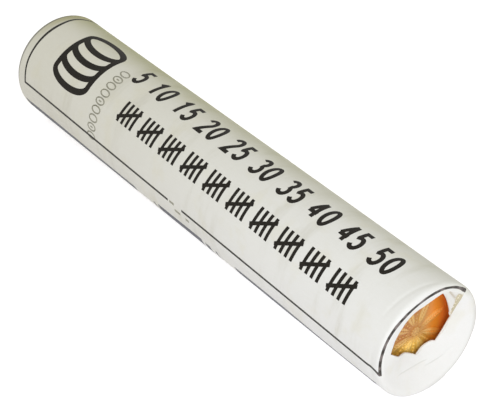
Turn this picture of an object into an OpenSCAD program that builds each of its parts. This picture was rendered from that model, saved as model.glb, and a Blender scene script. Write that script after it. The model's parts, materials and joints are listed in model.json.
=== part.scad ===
// A sealed roll of coins: a stack of small copper-coloured coins in a wound paper wrapper
// whose two ends are rolled in and crimped over the stack.
// The roll lies along X, with its wider opening facing +X. The origin is on the surface that
// the roll lies on, under the middle of its length. All lengths are millimetres.

/* [Coins] */
// Number of coins in the stack
coin_count = 50; // [10:1:59]
// Diameter of a coin
coin_d = 16.25; // [15:0.05:30]
// Thickness of a coin over its rims
coin_t = 1.67; // [1.2:0.01:3.5]
// Air between two neighbouring coins
coin_gap = 0.015; // [0.005:0.005:0.1]
// Width of the raised rim
rim_w = 0.8; // [0.4:0.05:1.2]
// Width of the slope from the rim down to the field
rim_fall = 0.15; // [0.05:0.05:0.3]
// Bevel on a coin's outer edges
rim_bevel = 0.15; // [0.05:0.01:0.3]
// Height of the relief above the sunk field
relief_h = 0.14; // [0.05:0.01:0.2]
// Depth of the relief's top below the rim
relief_sink = 0.03; // [0.01:0.01:0.1]

/* [Coin design] */
// Number of beads in the ring inside the front's rim
bead_count = 30; // [12:1:40]
// Diameter of a bead
bead_d = 0.6; // [0.3:0.05:0.8]
// Gap between the rim's slope and the ring of beads
bead_gap = 0.25; // [0.1:0.05:0.6]
// Diameter of the boss in the middle of each face
boss_d = 1.6; // [0.8:0.1:2.4]
// Gap between the boss and what surrounds it
boss_gap = 0.25; // [0.1:0.05:0.6]
// Number of petals in the front's rosette
petal_count = 8; // [5:1:10]
// Length of a petal
petal_len = 4.2; // [2:0.1:4.6]
// Greatest width of a petal
petal_w = 1.3; // [0.6:0.1:1.5]
// Number of rays on the back
ray_count = 16; // [8:1:24]
// Length of a ray
ray_len = 3.6; // [2:0.1:4]
// Width of a ray at its outer end
ray_w = 0.7; // [0.3:0.05:1]
// Width of a ray at its inner end
ray_foot_w = 0.25; // [0.15:0.05:0.3]
// Width of the plain ring round the rays
ring_w = 0.35; // [0.2:0.05:0.8]

/* [Wrapper] */
// Thickness of the paper
paper_t = 0.08; // [0.06:0.01:0.2]
// Layers of paper round the barrel
plies = 3; // [2:1:5]
// Clearance between the coins and the innermost layer
fit_clear = 0.075; // [0.05:0.005:0.3]
// Arc that the outermost layer leaves uncovered, in degrees
lap_gap = 50; // [20:1:70]
// Direction of the middle of that arc, in degrees from +Y towards +Z
lap_at = -45; // [-50:1:40]
// Width of the strip that is pressed flat where the roll lies
flat_w = 2.6; // [1:0.1:3]

/* [Ends] */
// Outer radius of the rolled rim
rim_roll = 0.8; // [0.5:0.05:1.2]
// Slope of the crimped paper down towards the coins, in degrees
crimp_slope = 22; // [10:1:28]
// Reach of the crimped paper in from the bore, before it is torn open
crimp_reach = 5.5; // [3.5:0.1:6]
// Free travel of the stack between the two crimps
axial_play = 0.4; // [0.1:0.05:1]
// Gap between the far crimp and the last coin
far_seat = 0.05; // [0.05:0.01:0.3]
// Number of pleats in the far crimp
pleat_count = 9; // [5:1:12]
// Arc that one pleat covers, in degrees
pleat_arc = 24; // [10:1:30]
// Distance at which the pleats' edges pass the axis
pleat_offset = 2.4; // [0:0.1:2.6]
// Direction in which the near crimp's broad flap lies, in degrees from +Y towards +Z
flap_at = -15; // [-60:1:40]
// Distance of the flap's straight edge from the axis
flap_offset = 3.9; // [3:0.1:5]

/* [Hidden] */
$fn = 96;
eps = 0.01;

// Corners of the torn openings, seen along the axis from outside the end:
// direction in degrees from +Y towards +Z, and the share of the crimp's reach that is left there.
near_corners = [
    [7, 0.7], [16, 0.65], [32, 0.61], [44, 0.54], [58, 0.4], [75, 0.19], [107, 0.34], [121, 0.3], [135, 0.33],
    [153, 0.32], [171, 0.31], [190, 0.68], [196, 0.81], [229, 0.97], [261, 0.93], [289, 1], [317, 0.95],
    [321, 0.87], [336, 0.85], [352, 0.8]
];
far_corners = [
    [20, 0.7], [66, 0.62], [110, 0.74], [150, 0.66], [188, 0.78], [236, 0.68], [281, 0.76], [330, 0.64]
];

coin_r = coin_d / 2;
field_r = coin_r - rim_w - rim_fall;
field_depth = relief_h + relief_sink;
bead_ring_r = field_r - bead_gap - bead_d / 2;
motif_start = boss_d / 2 + boss_gap;
pitch = coin_t + coin_gap;
stack_len = coin_count * coin_t + (coin_count - 1) * coin_gap;

wall = plies * paper_t;
bore_r = coin_r + fit_clear;
outer_r = bore_r + wall;
axis_z = sqrt(pow(outer_r, 2) - pow(flat_w / 2, 2));

// The crimp in profile: the rim rolls over at crest_r, and from cone_r inwards the paper runs
// straight down to hole_r. Depths are measured from the end plane.
crest_r = outer_r - rim_roll;
cone_r = crest_r - rim_roll * sin(crimp_slope);
hole_r = bore_r - crimp_reach;
cone_depth = rim_roll * (1 - cos(crimp_slope));
crimp_depth = cone_depth + (cone_r - hole_r) * tan(crimp_slope);
crimp_t = wall / cos(crimp_slope);
near_recess = crimp_depth + crimp_t + axial_play;
far_recess = crimp_depth + crimp_t + far_seat;
roll_len = stack_len + near_recess + far_recess;
stack_front = roll_len / 2 - near_recess;

function coin_name(k) = str("coin_", k < 10 ? "0" : "", k);

// Each coin dropped into the roll at an angle of its own, and some lie the other way up
function coin_turn(k) = 137.5 * (k - 1) + 20;
function coin_flipped(k) = k > 1 && (k * 7) % 5 < 2;

// Point at a radius and a direction
function polar(r, a) = [r * cos(a), r * sin(a)];

// Points on an arc about a centre, from one angle to another
function arc(centre, r, from, to, steps = 8) =
    [for (i = [0:steps]) centre + polar(r, from + (to - from) * i / steps)];

// Turns a shape that stands on +Z so that it points along +X, with its X along Y and its Y along Z
module along_roll(x) translate([x, 0, axis_z]) rotate([90, 0, 90]) children();

// Coin: a revolved blank with a raised rim and a relief on each sunk face
module coin_blank() {
    top = coin_t / 2;
    half = [
        [0, top - field_depth], [field_r, top - field_depth], [field_r + rim_fall, top],
        [coin_r - rim_bevel, top], [coin_r, top - rim_bevel]
    ];
    under = [for (i = [len(half) - 1:-1:0]) [half[i].x, -half[i].y]];
    rotate_extrude() polygon(concat(half, under));
}

// A leaf shape between two arcs, from the origin outwards along X
module petal() {
    half_w = petal_w / 2;
    bow = (pow(petal_len / 2, 2) + pow(half_w, 2)) / (2 * half_w);
    intersection() {
        translate([petal_len / 2, bow - half_w]) circle(bow);
        translate([petal_len / 2, half_w - bow]) circle(bow);
    }
}

module rosette() {
    circle(d = boss_d);
    for (i = [0:petal_count - 1]) rotate(360 * i / petal_count) translate([motif_start, 0]) petal();
    for (i = [0:bead_count - 1]) rotate(360 * i / bead_count) translate([bead_ring_r, 0]) circle(d = bead_d);
}

module sun_wheel() {
    circle(d = boss_d);
    for (i = [0:ray_count - 1]) rotate(360 * i / ray_count) translate([motif_start, 0])
        polygon([[0, -ray_foot_w / 2], [ray_len, -ray_w / 2], [ray_len, ray_w / 2], [0, ray_foot_w / 2]]);
    difference() {
        circle(bead_ring_r + ring_w / 2);
        circle(bead_ring_r - ring_w / 2);
    }
}

// Raises a flat design out of the field, rooted a little way into the metal
module relief() {
    root = field_depth;
    translate([0, 0, coin_t / 2 - field_depth - root]) linear_extrude(relief_h + root) children();
}

module coin(k) {
    color("#b87344")
        along_roll(stack_front - coin_t / 2 - (k - 1) * pitch)
        rotate([coin_flipped(k) ? 180 : 0, 0, coin_turn(k)]) {
            coin_blank();
            relief() rosette();
            rotate([180, 0, 0]) relief() sun_wheel();
        }
}

// Wrapper: one revolved wall with a rolled rim and a sloping crimp at each end.
// The crimp's profile is [radius, distance along the axis from the end plane].
function crimp_outside() = concat(
    arc([crest_r, -rim_roll], rim_roll, 0, 90 + crimp_slope),
    [[hole_r, -crimp_depth]]
);
function crimp_inside() = concat(
    [[hole_r, -crimp_depth - crimp_t]],
    arc([crest_r, -rim_roll], rim_roll - wall, 90 + crimp_slope, 0)
);
function near_half(points) = [for (p = points) [p.x, roll_len / 2 + p.y]];
function far_half(points) = [for (i = [len(points) - 1:-1:0]) [points[i].x, -roll_len / 2 - points[i].y]];

module wrapper_wall() along_roll(0) rotate_extrude() polygon(concat(
    near_half(concat(crimp_outside(), crimp_inside())),
    far_half(concat(crimp_outside(), crimp_inside()))
));

// Paper folded over the crimp within a flat outline: it swells out of the slope towards its free
// inner edge, where it stands one thickness proud
module folded_over() intersection() {
    rotate_extrude() polygon([
        [hole_r, -crimp_depth - crimp_t / 2], [cone_r, -cone_depth - crimp_t / 2],
        [cone_r, -cone_depth - eps], [hole_r, paper_t - crimp_depth]
    ]);
    translate([0, 0, -crimp_depth - crimp_t]) linear_extrude(crimp_depth + crimp_t) children();
}

// The far end's pleats: leaves that overlap like an iris, whose sides pass the axis at pleat_offset
module pleats() {
    far_out = 2 * outer_r;
    for (i = [0:pleat_count - 1]) folded_over() rotate(360 * i / pleat_count) polygon([
        [0, -pleat_offset], [far_out, -pleat_offset],
        polar(far_out, pleat_arc) + polar(pleat_offset, pleat_arc - 90),
        polar(pleat_offset, pleat_arc - 90)
    ]);
}

// The near end's broad flap, which ends in one straight edge
module flap() folded_over() rotate(flap_at) translate([flap_offset, -outer_r]) square(2 * outer_r);

// The torn opening of one end, as the shape to take away
module opening(corners) translate([0, 0, -crimp_depth - 2 * crimp_t])
    linear_extrude(crimp_depth + 3 * crimp_t)
    polygon([for (c = corners) polar(bore_r - crimp_reach * c[1], c[0])]);

// What the outermost layer leaves uncovered, between its free edge and the start of the layer below
module lap_recess() along_roll(-roll_len / 2) rotate(lap_at - lap_gap / 2)
    rotate_extrude(angle = lap_gap) translate([outer_r - paper_t, 0]) square([rim_roll, roll_len]);

module near_end() along_roll(roll_len / 2) children();
module far_end() mirror([1, 0, 0]) near_end() children();

module paper_wrapper() {
    color("#eae6d6") difference() {
        union() {
            wrapper_wall();
            near_end() flap();
            far_end() pleats();
        }
        near_end() opening(near_corners);
        far_end() opening(far_corners);
        lap_recess();
        translate([-roll_len, -outer_r, -outer_r]) cube([2 * roll_len, 2 * outer_r, outer_r]);
    }
}

paper_wrapper();
for (k = [1:coin_count]) coin(k);
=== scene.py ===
# %% [markdown]
# # A roll of coins in a paper wrapper
# On the real object a machine rolls a printed sheet round a stack of fifty small copper-coloured
# coins and crimps both ends over the stack. The crimps are torn open in the middle, so the coin at
# each end shows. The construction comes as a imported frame: it fixes where every coin and the wrapper
# are. This lesson only dresses it. Each new surface is a formula on a grid, worked out with numpy.

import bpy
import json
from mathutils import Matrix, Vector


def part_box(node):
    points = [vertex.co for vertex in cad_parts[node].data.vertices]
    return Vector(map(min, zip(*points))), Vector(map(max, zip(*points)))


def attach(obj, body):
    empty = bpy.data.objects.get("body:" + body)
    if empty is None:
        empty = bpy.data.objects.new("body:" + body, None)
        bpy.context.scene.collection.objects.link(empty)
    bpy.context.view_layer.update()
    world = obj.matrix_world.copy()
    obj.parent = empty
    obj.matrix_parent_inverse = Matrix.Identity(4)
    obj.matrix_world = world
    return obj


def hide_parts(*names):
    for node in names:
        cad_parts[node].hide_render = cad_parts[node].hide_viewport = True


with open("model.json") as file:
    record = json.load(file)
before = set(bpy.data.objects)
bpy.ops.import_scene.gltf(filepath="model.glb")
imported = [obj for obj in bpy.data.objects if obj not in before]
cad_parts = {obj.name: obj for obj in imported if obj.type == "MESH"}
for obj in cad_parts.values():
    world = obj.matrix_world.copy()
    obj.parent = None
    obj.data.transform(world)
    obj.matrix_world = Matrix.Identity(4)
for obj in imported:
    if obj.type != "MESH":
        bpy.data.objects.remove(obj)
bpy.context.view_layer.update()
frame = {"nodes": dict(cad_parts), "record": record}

# %% [markdown]
# ## Sizes
# Blender works in metres, but paper and coins are easier to think of in millimetres, so every
# formula below is in millimetres and one helper scales the points at the end. The barrel's radius,
# length and height come from the frame's own mount. What the frame can't tell, such as the
# thickness of the paper, is named here once.

# %% Sizes of the roll
import json
import math

import bpy
import numpy as np
from mathutils import Vector

MM = 0.001
barrel = next(mount for mount in frame["record"]["mounts"] if mount["name"] == "barrel")
outer_r = barrel["dims"]["r_mm"]
barrel_half = barrel["dims"]["length_mm"] / 2
axis_z = barrel["pos_m"][2] / MM
paper_t = 0.08
wall = 3 * paper_t
bore_r = outer_r - wall
rim_roll = 0.8
roll_half = barrel_half + rim_roll
crest_r = outer_r - rim_roll
print(f"roll: {2 * outer_r:.1f} mm across and {2 * roll_half:.1f} mm long, axis {axis_z:.1f} mm up")

# %% [markdown]
# ## Faces of a grid
# A shape here is a grid of points: rows along it, columns round it. Python could loop over the
# vertices, but whole arrays are shorter and much faster. The faces follow from row and column
# numbers alone. Faces have to point outwards, and the signed volume tells: it is negative when a
# closed surface is inside out, and then the corners of every face are taken in reverse.


# %% Faces and volume
def ring_grid(rows, columns, closed_rows=False):
    """Quads of a grid whose columns close to a ring: each joins a point, its right and lower neighbours."""
    i = np.arange(rows if closed_rows else rows - 1)[:, None]
    j = np.arange(columns)[None, :]
    right = (j + 1) % columns
    below = (i + 1) % rows
    corners = [i * columns + j, i * columns + right, below * columns + right, below * columns + j]
    return np.stack(corners, axis=-1).reshape(-1, 4)


def six_volumes(points, faces):
    """Six times the signed volume: the sum of a . (b x c) over the triangles that fan out in each face."""
    pairs = range(1, faces.shape[1] - 1)
    first = points[faces[:, 0]]
    return sum(np.sum(first * np.cross(points[faces[:, k]], points[faces[:, k + 1]])) for k in pairs)


print(f"a closed grid of 4 by 6 points has {len(ring_grid(4, 6, closed_rows=True))} faces")

# %% [markdown]
# ## From points to an object
# Blender keeps an object, which has a place, apart from its mesh, which has the points. Every piece
# here stays at the origin and has its place in its points, so that a pattern on object coordinates
# lies on it as on its neighbours. Shading is smooth up to an angle, and past it an edge stays crisp.


# %% Mesh helpers
def add_object(name, data):
    """A new object in the scene, at the origin."""
    thing = bpy.data.objects.new(name, data)
    bpy.context.scene.collection.objects.link(thing)
    return thing


def make_piece(name, points, face_groups, sharp_angle=35):
    """A piece from millimetre points and groups of faces, smooth up to sharp_angle in degrees."""
    inside_out = sum(six_volumes(points, faces) for faces in face_groups) < 0
    faces = [face[::-1] if inside_out else face for group in face_groups for face in group.tolist()]
    mesh = bpy.data.meshes.new(name)
    mesh.from_pydata((points * MM).tolist(), [], faces)
    mesh.shade_smooth()
    mesh.set_sharp_from_angle(angle=math.radians(sharp_angle))
    print(f"{name}: {len(points)} points, {len(faces)} faces")
    return add_object(name, mesh)


def mark_points(piece, name, values):
    """Stores one number per point for a material to read."""
    attribute = piece.data.attributes.new(name, "FLOAT", "POINT")
    attribute.data.foreach_set("value", np.ascontiguousarray(values, dtype=np.float32).ravel())


print(f"pieces are made in millimetres, {1 / MM:.0f} to a unit of the scene")

# %% [markdown]
# ## Soft steps
# Hard limits would look machined on paper, so nearly everything below fades in and out. Such curves
# could be drawn by hand in a curve widget, but a formula can be reused anywhere: a smooth step, a
# window made of two of them, a bell, and a wavy line that closes on itself.


# %% Curves that fade
def smooth(low, high, x):
    """Smooth step: 0 below low, 1 above high, and 3t^2 - 2t^3 between them."""
    t = np.clip((x - low) / (high - low), 0, 1)
    return t * t * (3 - 2 * t)


def window(x, rise, fall):
    """1 between two smooth steps: up over the pair rise and down again over the pair fall."""
    return smooth(*rise, x) * (1 - smooth(*fall, x))


def bell(x, width):
    """A bell curve: 1 at 0 and e^-1 at the width, to both sides."""
    return np.exp(-((x / width) ** 2))


def waves(angle, orders, seed):
    """A wavy line that closes on itself: the mean of cosines of whole orders, with seeded phases."""
    phases = np.random.default_rng(seed).uniform(0, 2 * np.pi, len(orders))
    return np.mean([np.cos(k * np.radians(angle) + p) for k, p in zip(orders, phases)], axis=0)


def signed(angle):
    """The same direction, between -180 and 180 degrees."""
    return np.mod(angle + 180, 360) - 180


def polar(r, a):
    """Sideways and upward parts of a distance r in direction a, in degrees: r cos a and r sin a."""
    return r * np.cos(np.radians(a)), r * np.sin(np.radians(a))


print(f"a smooth step has risen by {smooth(0, 1, 0.25):.3f} a quarter of the way along")

# %% [markdown]
# ## A barrel that isn't quite round
# The wrapper is one sheet of thin paper wound nearly three times round the coins, slightly askew. A
# plain cylinder would miss what makes it paper: slack where the last coin ends, a long wrinkle, and
# soft waves in between. Sculpting could give these by hand. Here each is a small depth that depends
# on the distance s along the roll and the direction a round it, so every piece can ask for it.

# %% Dents of the paper
stack_ends = [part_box("coin_50")[0].x / MM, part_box("coin_01")[1].x / MM]
slack_turns = [(100, 215, 330), (190, 285)]
slack_arc = 24
slack_width = 0.45
slack_depth = 0.07
wrinkle_x = 42.8
wrinkle_turn = 20
wrinkle_lean = 0.0215
wrinkle_bend = 0.00014
wrinkle_width = 0.26
wrinkle_depth = 0.07
uneven_depth = 0.02


def wrinkle(s, a):
    """Share of the depth of the long wrinkle at the near end: a groove along a line that bends from the
    front of the roll up to the near rim."""
    from_top = signed(a - 90)
    further = from_top - wrinkle_turn
    centre = wrinkle_x - wrinkle_lean * further + wrinkle_bend * further**2
    return bell(s - centre, wrinkle_width) * window(from_top, (-16, -2), (30, 60))


def dents(s, a):
    """How far the paper lies inside a true barrel: long soft waves, the wrinkle, and slack just past each
    end coin, which is deepest in a few directions and fades between them."""
    t = np.radians(a)
    uneven = 0.5 * np.cos(3 * t + s / 9 + 1) + 0.3 * np.cos(5 * t - s / 6 + 2) + 0.2 * np.cos(2 * t + s / 14)
    hollow = uneven_depth * (1 + uneven) * smooth(0, 4, barrel_half - np.abs(s))
    for end, turns in zip(stack_ends, slack_turns):
        pinch = sum(bell(signed(a - turn), slack_arc) for turn in turns)
        wander = end + np.sign(end) * (0.8 + 0.25 * np.cos(2 * t + 1))
        hollow = hollow + slack_depth * pinch * bell(s - wander, slack_width)
    return hollow + wrinkle_depth * wrinkle(s, a)


print(f"coins reach from {stack_ends[0]:.2f} to {stack_ends[1]:.2f} mm along the roll")

# %% [markdown]
# ## The outer face of the sheet
# Paper and print have to share one surface, or the ink would sink in or hover. So the outer face is
# a function of two numbers that belong to the sheet: the distance s along it and the sheet angle w
# round it. The layer that lies outermost has a free edge, one thickness above the layer below. Past
# the barrel's end the same function rolls over the rim, so print can follow it there too.

# %% The outer face
skew = 0.12
lap_edge = -160
lap_start = -110
crimp_slope = math.radians(22)
rim_turn = math.pi / 2 + crimp_slope
near_square = 0.8
far_square = 0.82
far_top_square = 0.45


def turn_of(s, w):
    """Direction of sheet angle w at distance s, in degrees from +Y towards +Z: the sheet lies askew."""
    return w + 90 + skew * np.clip(s, -barrel_half, barrel_half)


def layer_drop(w):
    """One thickness of paper between the free edge and the place where the outermost layer begins."""
    return paper_t * (1 - smooth(lap_start - 4, lap_start + 4, w))


def rim_square(s, a):
    """Power that shapes the rim's outer quarter: 1 is a circle and less is squarer, as the far rim is
    at its top."""
    top = smooth(-0.3, 0.8, np.sin(np.radians(a)))
    return np.where(s < 0, far_square + (far_top_square - far_square) * top, near_square)


def axis_point(x, r, a):
    """Point at x along the roll, at radius r from its axis, in direction a."""
    y, up = polar(r, a)
    return np.stack(np.broadcast_arrays(x, y, axis_z + up), axis=-1)


def sheet_point(s, w, lift=0.0):
    """Outer face of the paper: outer_r from the axis along the barrel, then over the rim, whose outer
    quarter is squarer than a circle, then straight down the crimp's slope. It is pressed flat
    where the roll lies, and lift moves it off the face."""
    s, w = np.broadcast_arrays(np.asarray(s, float), np.asarray(w, float))
    a = turn_of(s, w)
    travel = np.clip(np.abs(s) - barrel_half, 0, None) / rim_roll
    over = np.minimum(travel, rim_turn)
    beyond = rim_roll * (travel - over)
    roll = rim_roll - layer_drop(w) * (1 - smooth(0.5, rim_turn - 0.3, over))
    square = np.where(over < np.pi / 2, rim_square(s, a), 1.0)
    ahead = roll * np.sin(over) ** square + lift * np.sin(over) + beyond * np.cos(rim_turn)
    outward = roll * np.sign(np.cos(over)) * np.abs(np.cos(over)) ** square - beyond * np.sin(rim_turn)
    x = np.sign(s) * (np.minimum(np.abs(s), barrel_half) + ahead)
    level = axis_z / np.clip(-np.sin(np.radians(a)), 0.01, None)
    r = np.minimum(crest_r + outward - dents(s, a), level) + lift * np.cos(over)
    return axis_point(x, r, a)


print(f"the top of the sheet is {sheet_point(0, 0)[2]:.2f} mm up in the middle of the roll")

# %% [markdown]
# ## The torn openings
# At each end the tube of paper is rolled over and pressed down into a shallow cone, which has since
# been torn open. A round hole would look machined, and an outline traced by hand would need a great
# many points. A tear is simpler than it looks: a few corners, joined by straight tears or by lobes
# that bulge inwards, and a fine raggedness on top.

# %% Outline of an opening
cone_r = crest_r + rim_roll * math.cos(rim_turn)
crimp_reach = 5.5
raggedness = 0.02

# Corners of the torn outlines: direction, the share of the crimp's reach left there, and how far
# the tear that follows bulges inwards
near_corners = [
    (16.5, 0.65, -0.42), (75.5, 0.19, 0), (107.5, 0.34, -0.3), (135.5, 0.33, -0.29), (171, 0.31, 0),
    (190.5, 0.68, 0), (196, 0.81, 0.03), (261, 0.93, 0.16), (317.5, 0.95, 0), (321, 0.87, -0.27)
]
far_corners = [
    (20, 0.7, 0.2), (66, 0.62, 0.1), (110, 0.74, 0.25), (150, 0.66, 0.1), (188, 0.78, 0.2),
    (236, 0.68, 0.1), (281, 0.76, 0.25), (330, 0.64, 0.15)
]


def outline(a, corners):
    """Radius of a torn outline: where the ray in direction a meets the line between two corners,
    less a parabola that bulges inwards, plus the fine raggedness of torn paper."""
    turns, shares, bulges = np.array(corners, float).T
    start = np.stack(polar(bore_r - crimp_reach * shares, turns), axis=-1)
    side = np.roll(start, -1, axis=0) - start
    k = np.searchsorted(turns, np.mod(a, 360), side="right") - 1
    ray = polar(1.0, a)
    cross = ray[0] * side[k, 1] - ray[1] * side[k, 0]
    radius = (start[k, 0] * side[k, 1] - start[k, 1] * side[k, 0]) / cross
    along = (start[k, 0] * ray[1] - start[k, 1] * ray[0]) / cross
    return radius - bulges[k] * 4 * along * (1 - along) + raggedness * waves(a, (31, 47, 71, 109), 5)


for end_name, corners in [("near", near_corners), ("far", far_corners)]:
    lip = outline(np.arange(360.0), corners)
    print(f"{end_name} opening: its lip is {lip.min():.1f} to {lip.max():.1f} mm from the axis")

# %% [markdown]
# ## The flap, its pocket and its folds
# At the near end one broad flap with a straight edge lies over its neighbour, and between the two a
# pocket opens. Two creases cross the flap, and one the leaf of paper beside the pocket. A cloth
# simulation could fold a sheet like that, but not into these folds. Each of them is a share from 0
# to 1 instead, which is later used twice: for the depth of the paper and for its colour.

# %% Flap, pocket and folds
# The direction square to the flap's straight edge, that edge's distance from the axis, where along
# the edge the pocket opens, and how wide it gets
flap_normal = (0.967, -0.254)
flap_offset = 3.9
pocket_from = 2.4
pocket_to = 5.9
pocket_width = 1.0
# Folds across the flap: how far each lies below the axis, where along Y its middle is, and how
# strongly it bends up to both sides
left_fold = (4.27, -0.4, 0.03)
right_fold = (4.9, 0.6, 0.07)
fold_width = 0.2
leaf_fold_width = 0.13


def flap_place(y, up):
    """How far a place lies past the flap's straight edge, positive on the flap, and how far along that
    edge. It takes arrays of numbers and, later on, the wires of a material."""
    past = y * flap_normal[0] + up * flap_normal[1] - flap_offset
    return past, up * flap_normal[0] - y * flap_normal[1]


def fold_distance(y, up, fold):
    """Height above the line of a fold, a parabola. It takes arrays or wires, too."""
    below, middle, bend = fold
    return up + below - (y - middle) * (y - middle) * bend


def pocket_size(along):
    """Share of the way along the pocket, and its width there: small by the opening and growing quickly
    further along the flap's edge."""
    share = np.clip((along - pocket_from) / (pocket_to - pocket_from), 0, 1)
    return share, pocket_width * (0.3 * smooth(0, 0.15, share) + 0.7 * share**3) + 0.02


def pocket(r, a):
    """Share of the pocket's depth: all of it at the flap's edge, fading over the pocket's width, and
    fading again where the crimp meets the rim."""
    past, along = flap_place(*polar(r, a))
    share, width = pocket_size(along)
    fade = smooth(0, 0.25, cone_r - r) * smooth(0, 0.35, share)
    return np.where(past < 0, smooth(0, 0.6, 1 + past / width), 0) * fade


def folds(r, a):
    """Shares of three soft folds, each strongest along a line: two bent ones across the broad flap and a
    slanting one across the leaf between the opening and the pocket."""
    y, up = polar(r, a)
    left = bell(fold_distance(y, up, left_fold), fold_width) * window(y, (-4.4, -3.6), (0.2, 1))
    right = bell(fold_distance(y, up, right_fold), fold_width) * window(y, (0.3, 1), (4.2, 5.6))
    leaf = bell(0.8 * y + 0.6 * up - 6.35, leaf_fold_width) * window(y, (2.6, 3), (4.3, 4.7))
    return left, right, leaf


print(f"flap: its edge runs {flap_offset} mm from the axis, beside a pocket {pocket_width} mm wide")

# %% [markdown]
# ## Depth of a crimp
# Crimped paper lies in overlapping pleats that swirl in like an iris. They could be separate leaves,
# but leaves that nearly touch are hard to keep from cutting through each other. One surface is
# enough: its depth is a slope, less a step for each pleat, plus the flap's forms at the near end.

# %% Depth of a crimp
slope = math.tan(crimp_slope)
cone_depth = rim_roll * (1 - math.sin(rim_turn))
pleat_count = 9
pleat_arc = 24
pleat_offset = 2.4
pocket_depth = 0.4
edge_lift = 0.08
edge_reach = 0.7
fold_depth = 0.1
leaf_depth = 0.08


def steepness(a):
    """Share of the crimp's slope at the near end: a third of it in the upper left, where little paper is
    left and has sprung back, and all of it round the flap."""
    return 1 - 0.7 * window(np.mod(a, 360), (55, 95), (160, 220))


def crimp_depth(r, a, end):
    """Depth below the end plane: the slope, less the pleats, each steep on one side and fading on the
    other, and at the near end the pocket, the lift of the flap's edge and the folds in the flap."""
    inward = np.clip(cone_r - r, 0, None)
    swirl = a + np.degrees(np.arcsin(np.clip(pleat_offset / r, -1, 1)))
    phase = np.mod(swirl, 360 / pleat_count)
    pleat = window(phase, (0, 1.5), (3, pleat_arc + 6))
    fall = slope * steepness(a) if end["flap"] else slope
    depth = cone_depth + (cone_r - r) * fall - end["pleat"] * pleat * smooth(0, 3, inward)
    if end["flap"]:
        past = flap_place(*polar(r, a))[0]
        edge = np.exp(-np.abs(past) / edge_reach) * (past > 0) * window(signed(a), (8, 18), (40, 52))
        left, right, leaf = folds(r, a)
        depth = depth + pocket_depth * pocket(r, a) - edge_lift * edge * smooth(0, 0.6, inward)
        depth = depth + fold_depth * (left + right) + leaf_depth * leaf
    return depth


# Of each end: its side along the roll, its torn corners, the height of its pleats, whether it has the
# flap, and the seed for the edge of its upper ply
near_end = {"side": 1, "corners": near_corners, "pleat": 0.0, "flap": True, "seed": 12}
far_end = {"side": -1, "corners": far_corners, "pleat": 0.3, "flap": False, "seed": 21}
print(f"crimps: cone starts at radius {cone_r:.2f} mm, {cone_depth:.3f} mm below the end plane")

# %% [markdown]
# ## Rows of a crimp
# A mesh shows a fold only where its rows lie along it. A finer grid everywhere would do, at the cost
# of hundreds of thousands of faces. Here the rows of the near crimp draw together at the flap's edge
# instead, and beside it they follow the pocket.


# %% Rows of the top face
def top_radii(end, a, upper):
    """Radii of the rows of a crimp's top face, from the rim to the edge of its upper ply. They part at a
    line, which at the near end is the flap's straight edge, with a row close to it on either side for
    the step. Beyond it they first keep to the pocket's width, so that its floor comes out smooth."""
    step = 0.012
    fold = 0.5 * (cone_r + upper)
    reach = 0.5 * (fold - step - upper)
    if end["flap"]:
        at_flap = window(signed(a), (-5, 12), (46, 60))
        y, up = polar(1.0, a)
        squarely = np.clip(y * flap_normal[0] + up * flap_normal[1], 0.2, None)
        edge = np.clip(flap_offset / squarely, upper + 0.03, cone_r - 0.05)
        fold = fold + (edge - fold) * at_flap
        reach = 0.5 * (fold - step - upper)
        along = flap_place(*polar(fold, a))[1]
        width = pocket_size(along)[1]
        reach = reach + (np.minimum(width / squarely, 1.6 * reach) - reach) * at_flap
    foot = fold - step - reach
    outer_t = np.linspace(0, 1, 20)[1:, None]
    pocket_t = np.linspace(0, 1, 9)[:, None]
    leaf_t = np.linspace(0, 1, 7)[1:, None]
    return np.concatenate([
        cone_r + (fold + step - cone_r) * outer_t,
        fold - step - reach * pocket_t,
        foot + (upper - foot) * leaf_t,
    ])


print(f"crimp: {len(top_radii(far_end, np.zeros(1), np.full(1, crimp_reach)))} rows on its top face")

# %% [markdown]
# ## From the rim to the lip and back
# Torn paper shows its layers: the upper ply ends a little before the one below it. A crimp goes on from its
# top face over that small step to the lip, back along the underside and round the inside of the rolled rim.
# Its rows also tell the material where shade is painted on the paper and where the inside of the sheet shows.

# %% All rows of a crimp
ply_step = 0.05
ply_wander = 0.25
lip_gap = 0.16
inner_roll = rim_roll - wall


def leaf_tint(r, a):
    """Painted shade on the near crimp's leaf, between the opening and the pocket, where the flap lies over
    it: a little, and more in its fold."""
    past = flap_place(*polar(r, a))[0]
    leaf = 0.16 * window(signed(a), (18, 26), (68, 78)) * (past < 0)
    return leaf + 0.5 * folds(r, a)[2]


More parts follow.
